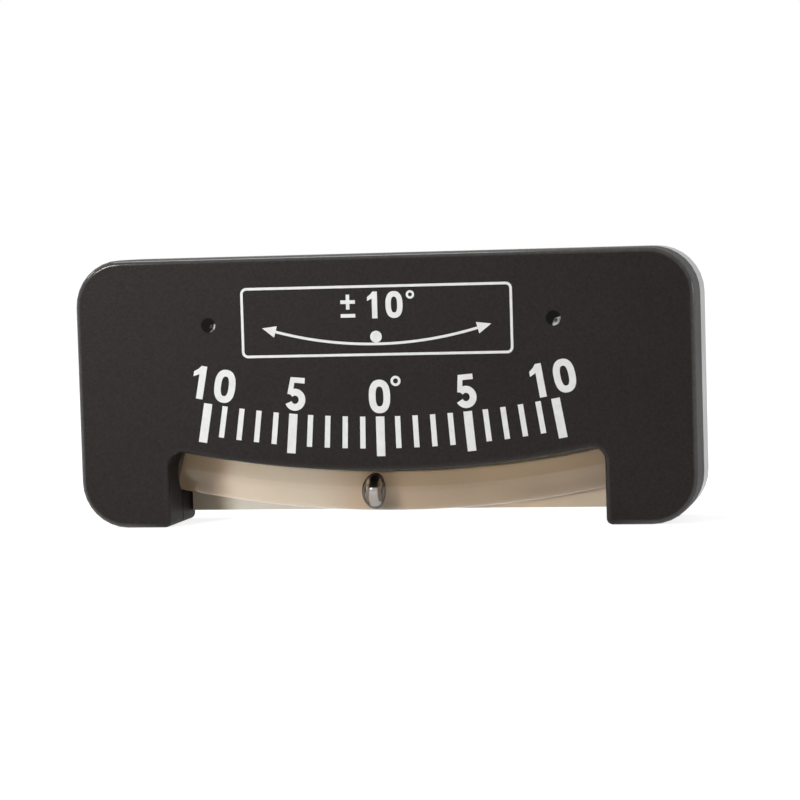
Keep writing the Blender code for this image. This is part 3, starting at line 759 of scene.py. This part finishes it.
def soften(profile, radius, steps=4):
    """Each inner corner becomes a curve (1-t)^2 A + 2t(1-t) P + t^2 B between points A and B near it."""
    p = np.array(profile, float)
    into, out = p[:-2] - p[1:-1], p[2:] - p[1:-1]
    into_l = np.linalg.norm(into, axis=1, keepdims=True)
    out_l = np.linalg.norm(out, axis=1, keepdims=True)
    a = p[1:-1] + into / into_l * np.minimum(radius, SIDE_LIMIT * into_l)
    b = p[1:-1] + out / out_l * np.minimum(radius, SIDE_LIMIT * out_l)
    t = np.linspace(0, 1, steps)[None, :, None]
    curve = (1 - t) ** 2 * a[:, None] + 2 * t * (1 - t) * p[1:-1][:, None] + t**2 * b[:, None]
    return np.vstack((p[:1], curve.reshape(-1, 2), p[-1:]))


def turned(profile, sides=64):
    """Rings of a profile of (radius, height) turned about local +Z."""
    turn = np.linspace(0, 2 * math.pi, sides, endpoint=False)[None, :]
    radius, height = profile[:, :1], profile[:, 1:]
    rings = (radius * np.cos(turn), radius * np.sin(turn), height + 0 * turn)
    return np.stack(rings, axis=-1)


def placed(rings, matrix, joined=False):
    """A closed solid of rings moved by a matrix."""
    return solid(place(rings.reshape(-1, 3), matrix).reshape(rings.shape), joined)


spigot = (TUBE_END - PLUG_ANGLE) * PATH_R + PLUG_GAP
groove = spigot * GROOVE_SHARE
top = spigot + PLUG_HEAD_T
groove_r = BORE_R - 2 * RING_GAP - 2 * RING_R
half_groove = RING_R + RING_GAP
floor_z = top - DIMPLE_DEPTH
point = 0.001 * MM
plug_profile = [(point, 0), (neck_r, 0), (neck_r, groove - half_groove), (groove_r, groove - half_groove)]
plug_profile += [(groove_r, groove + half_groove), (neck_r, groove + half_groove), (neck_r, spigot)]
plug_profile += [(TUBE_R, spigot), (TUBE_R, top), (DIMPLE_R + DIMPLE_SLOPE, top), (DIMPLE_R, floor_z)]
plug_profile += [(point, floor_z)]
plug_plastic = finish("turned_plug_plastic", (0.05, 0.05, 0.05), 0.40, worn=(0.1, 0.1, 0.1), cells=1200,
                      pit=0.01 * MM)
seal_rubber = finish("seal_rubber", (0.022, 0.021, 0.020), 0.70, cells=4000, pit=0.01 * MM)


def make_ring(radius, section, height):
    """A ring of round section: the section's angle runs inside the ring's angle, joined both ways."""
    turn = np.linspace(0, 2 * math.pi, 72, endpoint=False)[:, None]
    side = np.linspace(0, 2 * math.pi, 20, endpoint=False)[None, :]
    reach = radius + section * np.cos(side)
    rings = (reach * np.cos(turn), reach * np.sin(turn), height + section * np.sin(side) + 0 * turn)
    return np.stack(rings, axis=-1)


for side, way in (("left", -1), ("right", 1)):
    matrix = on_path(PLUG_ANGLE, way)
    plug_shape = placed(turned(soften(plug_profile, PLUG_SOFT)), matrix)
    plug = add_piece(side + "_turned_plug", plug_shape, plug_plastic, 35)
    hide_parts(side + "_end_plug")
    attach(plug, "case")
    ring_shape = placed(make_ring(BORE_R - RING_GAP - RING_R, RING_R, groove), matrix, joined=True)
    seal = add_piece(side + "_sealing_ring", ring_shape, seal_rubber, 60)
    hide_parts(side + "_plug_seal")
    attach(seal, "case")

# %% [markdown]
# ## Rubber collars
# A soft collar grips each end of the tube in the foot. It is a block with rounded edges and a hole for the
# tube. The surface is a band carried round the hole: down the bore, over the front, round the outside and
# back over the rear. The outside is a squared ellipse, which gives the block its soft corners.

# %% Collars
COLLAR_POWER = 0.28
COLLAR_EDGE = 0.4 * MM
cushion_rubber = finish("cushion_rubber", (0.030, 0.029, 0.028), 0.78, cells=2500, pit=0.02 * MM)


def squared(wave):
    """A cosine or sine pushed towards -1 and 1, which makes an ellipse into a block with soft corners."""
    return np.sign(wave) * np.abs(wave) ** COLLAR_POWER


def make_collar(node):
    """A band joined both ways: the section goes round hole and outline, its corners cut by a small edge."""
    low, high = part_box(node)
    middle, half = (low + high) / 2, (high - low) / 2
    turn = np.linspace(0, 2 * math.pi, 96, endpoint=False)[:, None]
    wave_y, wave_z = np.cos(turn), np.sin(turn)
    hole = TUBE_R + PLUG_GAP
    tilt = middle.x / PATH_R
    hole_z = axis.z - math.sqrt(PATH_R**2 - middle.x**2)
    edge = COLLAR_EDGE
    stations = [(0, 0, -1), (0, edge, -1), (0.5, 0, -1), (1, -edge, -1), (1, 0, -1 + edge / half.x)]
    stations += [(1, 0, 1 - edge / half.x), (1, -edge, 1), (0.5, 0, 1), (0, edge, 1), (0, 0, 1)]
    rings = []
    for share, shift, along in stations:
        hole_r, inset = hole + max(shift, 0), min(shift, 0)
        inner_y, inner_z = axis.y + hole_r * wave_y, hole_z + hole_r * wave_z
        outer_y = middle.y + (half.y + inset) * squared(wave_y)
        outer_z = middle.z + (half.z + inset) * squared(wave_z)
        y, z = inner_y * (1 - share) + outer_y * share, inner_z * (1 - share) + outer_z * share
        x = middle.x + half.x * along + (1 - share) * tilt * (z - hole_z)
        rings.append(np.concatenate((np.clip(x, low.x, high.x), y, z), axis=1))
    return solid(np.array(rings), joined=True)


for side in ("left", "right"):
    collar = add_piece(side + "_rubber_collar", make_collar(side + "_tube_cushion"), cushion_rubber, 50)
    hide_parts(side + "_tube_cushion")
    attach(collar, "case")

# %% [markdown]
# ## Screws
# Four self-tapping screws hold the cover. The head's top is a grid of radius and angle whose height drops
# inside a cross, and the thread is the shank's own surface: its radius rises and falls with the height
# less the turn, so that one ridge winds up the shank.

# %% Screws with threads
SCREW_R = 1.10 * MM
SCREW_HEAD_R = 1.90 * MM
SCREW_HEAD_T = 1.30 * MM
PITCH = 0.80 * MM
THREAD_DEPTH = 0.28 * MM
CROSS_HALF = 0.30 * MM
CROSS_REACH = 1.15 * MM
CROSS_DEPTH = 0.75 * MM
SCREW_SIDES = 72
SCREW_TWIST = 23
TIP_TAPER, NECK_TAPER = 0.9 * MM, 0.4 * MM
TIP_LENGTH, TIP_SHARE = 1.2 * MM, 0.35
RIM_SHARE, TOP_SHARE = 0.86, 0.84
CROWN_T = SCREW_HEAD_T / 3
CROWN_DROP = 0.3 * CROWN_T
WALL_SLOPE, END_SLOPE = 0.08 * MM, 0.12 * MM
RIM_SOFT = 0.12 * MM
CROSS_FLAT = 0.35
zinc = finish("zinc_plated_steel", (0.56, 0.56, 0.55), 0.28, worn=(0.7, 0.7, 0.7), cells=2500, slow=400,
              pit=0.003 * MM, tone=0.12, rough_tone=0.16, metallic=1.0)


def screw_turns():
    """Angles round a screw."""
    return np.linspace(0, 2 * math.pi, SCREW_SIDES, endpoint=False)[None, :]


def thread_rings(shank):
    """Radius = core + thread depth times a ridge that winds up with height over pitch less turns."""
    turn = screw_turns()
    height = np.linspace(0, shank, 121)[:, None]
    phase = (height / PITCH - turn / (2 * math.pi)) % 1.0
    ridge = np.clip(1 - np.abs(phase - 0.5) * 4, 0, 1)
    taper = np.clip(height / TIP_TAPER, 0.02, 1) * np.clip((shank - height) / NECK_TAPER, 0, 1) ** 0.5
    slim = np.clip(TIP_SHARE + height / TIP_LENGTH, 0, 1)
    radius = slim * (SCREW_R - THREAD_DEPTH) + THREAD_DEPTH * ridge * taper * slim
    return np.stack((radius * np.cos(turn), radius * np.sin(turn), height + 0 * turn), axis=-1)


def wing(along, across):
    """1 inside one slot of the cross, down to 0 over its sloped walls and ends."""
    walls = np.clip((CROSS_HALF - np.abs(across)) / WALL_SLOPE, 0, 1)
    return walls * np.clip((CROSS_REACH - np.abs(along)) / END_SLOPE, 0, 1)


def top_rings(length):
    """Rings in over a domed top, which drops inside the cross and most at its middle."""
    turn = screw_turns()
    inwards = np.linspace(TOP_SHARE, 0.004, 44)[:, None] * SCREW_HEAD_R
    dome = length - CROWN_DROP * (inwards / (RIM_SHARE * SCREW_HEAD_R)) ** 2
    x, y = inwards * np.cos(turn), inwards * np.sin(turn)
    slope = np.clip((CROSS_REACH * 1.15 - inwards) / CROSS_REACH, 0, 1)
    drop = CROSS_FLAT + (1 - CROSS_FLAT) * slope
    z = dome - CROSS_DEPTH * np.maximum(wing(x, y), wing(y, x)) * drop
    return np.stack((x, y, z), axis=-1)


def make_screw(length):
    """Rings up the threaded shank, round the head and in over its top."""
    shank = length - SCREW_HEAD_T
    rim = [(SCREW_R, shank), (SCREW_HEAD_R, shank), (SCREW_HEAD_R, length - CROWN_T)]
    rim += [(RIM_SHARE * SCREW_HEAD_R, length - CROWN_DROP)]
    head = turned(soften(rim, RIM_SOFT), SCREW_SIDES)
    return np.concatenate((thread_rings(shank), head, top_rings(length)))


for number in range(1, 5):
    node = f"cover_screw_{number}"
    low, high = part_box(node)
    spot = Matrix.Translation(((low.x + high.x) / 2, low.y, (low.z + high.z) / 2))
    backwards = Matrix.Rotation(-math.pi / 2, 4, "X")
    twist = Matrix.Rotation(math.radians(SCREW_TWIST * number), 4, "Z")
    shape = placed(make_screw(high.y - low.y), spot @ backwards @ twist)
    screw = add_piece(f"cross_screw_{number}", shape, zinc, 35)
    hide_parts(node)
    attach(screw, "case")

# %% [markdown]
# ## Adhesive foam pads
# The pads are cut from foam tape, so their sides bulge a little and their faces are flat. Each is rings of
# one rounded outline, drawn in towards its middle: across the front face, round the bulge and back.

# %% Foam pads
foam = finish("closed_cell_foam", (0.075, 0.072, 0.07), 0.90, cells=2600, slow=400, pit=0.15 * MM,
              tone=0.08, specular=0.2, fleck=0.25)
PAD_CORNER = 2.0 * MM
BULGE = 0.10 * MM
PAD_FACE_RINGS, PAD_SIDE_RINGS = 24, 9


def make_pad(node):
    """Rings of a rounded loop: shares of its size over each face, and a sine bulge over the sides."""
    low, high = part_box(node)
    centre = np.array(((low.x + high.x) / 2, (low.z + high.z) / 2))
    loop = rounded_loop(low.x + BULGE, high.x - BULGE, low.z + BULGE, high.z - BULGE, PAD_CORNER, 12)
    shares = np.linspace(0.02, 1, PAD_FACE_RINGS)
    rise = np.linspace(0, math.pi, PAD_SIDE_RINGS)
    none, whole = np.zeros(PAD_FACE_RINGS), np.ones(PAD_FACE_RINGS)
    share = np.concatenate((shares, np.ones(PAD_SIDE_RINGS), shares[::-1]))
    out = np.concatenate((none, BULGE * np.sin(rise), none))
    depth = np.concatenate((none, (1 - np.cos(rise)) / 2, whole))
    away = (loop - centre) / np.linalg.norm(loop - centre, axis=1, keepdims=True)
    flat = centre + (loop - centre)[None] * share[:, None, None] + away[None] * out[:, None, None]
    y = low.y + (high.y - low.y) * depth[:, None] + 0 * flat[:, :, 0]
    return solid(np.stack((flat[:, :, 0], y, flat[:, :, 1]), axis=-1))


for side in ("left", "right"):
    pad = add_piece(side + "_foam_pad", make_pad(side + "_adhesive_pad"), foam, 60)
    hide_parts(side + "_adhesive_pad")
    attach(pad, "case")

# %% [markdown]
# ## Stage and background
# The floor and the room are plain white. To the camera, to mirrors and to glass both show white at once,
# while everything else sees them at a lower strength, so that they don't flood the black plastic with
# light. The floor keeps a plain diffuse share, which takes the object's soft shadow.

# %% Stage
def see_white(tree):
    """1 for camera, glossy and transmission rays, 0 for the rest."""
    rays = add_node(tree, "LightPath")
    first = add_node(tree, "Math", {0: rays.outputs["Is Camera Ray"], 1: rays.outputs["Is Glossy Ray"]},
                     operation="MAXIMUM")
    both = add_node(tree, "Math", {0: first.outputs[0], 1: rays.outputs["Is Transmission Ray"]},
                    operation="MAXIMUM")
    return both.outputs[0]


FLOOR_SHADE = 0.50
FLOOR_GLOW = 0.84
FLOOR_HALF, FLOOR_DROP = 3.0, 0.02 * MM
ROOM_LIGHT = 0.40
floor_material = bpy.data.materials.new("white_floor")
floor_material.use_nodes = True
tree = floor_material.node_tree
shader = tree.nodes["Principled BSDF"]
shader.inputs["Base Color"].default_value = (FLOOR_SHADE, FLOOR_SHADE, FLOOR_SHADE, 1)
shader.inputs["Roughness"].default_value = 1.0
shader.inputs["Specular IOR Level"].default_value = 0.0
shader.inputs["Emission Color"].default_value = (1, 1, 1, 1)
glow = add_node(tree, "Math", {0: see_white(tree), 1: FLOOR_GLOW}, operation="MULTIPLY")
tree.links.new(glow.outputs[0], shader.inputs["Emission Strength"])
corners = np.array(((-1, -1, 0), (1, -1, 0), (1, 1, 0), (-1, 1, 0))) * FLOOR_HALF - (0, 0, FLOOR_DROP)
floor = add_piece("studio_floor", (corners, [[0, 1, 2, 3]]), floor_material)

world = bpy.data.worlds.new("white_room")
bpy.context.scene.world = world
world.use_nodes = True
tree = world.node_tree
room = tree.nodes["Background"]
room.inputs["Color"].default_value = (1, 1, 1, 1)
level = add_node(tree, "MapRange", {"Value": see_white(tree), "To Min": ROOM_LIGHT, "To Max": 1.0})
tree.links.new(level.outputs["Result"], room.inputs["Strength"])

# %% [markdown]
# ## Lamps
# A soft lamp close by on the left lights the window up to the shadow of the left foot. Weaker ones stand to
# the right and over the case, and a small one far left adds a short glint to the upper left corner. Their
# watts follow from their distance: a wall that faces a lamp of P watts at a distance d is lit to
# P / (pi d)^2 of its own colour.

# %% Lamps
def soft_lamp(name, place_m, aim, size, share):
    """A square lamp aimed at a point, which lights a facing wall to a share of its colour."""
    data = bpy.data.lights.new(name, "AREA")
    data.size = size
    offset = Vector(place_m) - Vector(aim)
    data.energy = share * (math.pi * offset.length) ** 2
    lamp = bpy.data.objects.new(name, data)
    lamp.location = place_m
    lamp.rotation_euler = offset.to_track_quat("Z", "Y").to_euler()
    lamp.visible_camera = False
    bpy.context.scene.collection.objects.link(lamp)
    print(name, round(data.energy, 2), "W")


target = (0, 0, 0.02)
soft_lamp("left_softbox", (-0.156, -0.237, 0.118), (-0.02, 0, 0.01), 0.06, 0.62)
soft_lamp("right_softbox", (0.75, -0.06, 0.12), target, 0.20, 0.10)
soft_lamp("top_softbox", (-0.22, -0.02, 0.72), target, 0.26, 0.25)
soft_lamp("left_rim_light", (-0.50, -0.07, 0.35), target, 0.10, 0.12)

# %% [markdown]
# ## Camera
# The place, lens and roll were fitted to the case's outline and the ticks in the photograph. The object
# stands a little turned in the picture, so the camera leans by its roll angle.

# %% Camera
LENS_MM = 127.8
CAMERA_AT = Vector((0.0971, -0.45272, 0.04842))
CAMERA_AIM = Vector((0.003157, -0.00825, 0.020374))
ROLL = math.radians(1.658)
SENSOR_MM = 36.0
NEAR_LIMIT = 0.01
forward = (CAMERA_AIM - CAMERA_AT).normalized()
level_right = forward.cross(Vector((0, 0, 1))).normalized()
level_up = level_right.cross(forward)
right = math.cos(ROLL) * level_right - math.sin(ROLL) * level_up
up = right.cross(forward)
lens = bpy.data.cameras.new("photo_camera")
lens.lens = LENS_MM
lens.sensor_width = SENSOR_MM
lens.clip_start = NEAR_LIMIT
camera = bpy.data.objects.new("photo_camera", lens)
turn = Matrix((right, up, -forward)).transposed().to_4x4()
camera.matrix_world = Matrix.Translation(CAMERA_AT) @ turn
bpy.context.scene.collection.objects.link(camera)
bpy.context.scene.camera = camera
bpy.context.scene.view_settings.view_transform = "Standard"
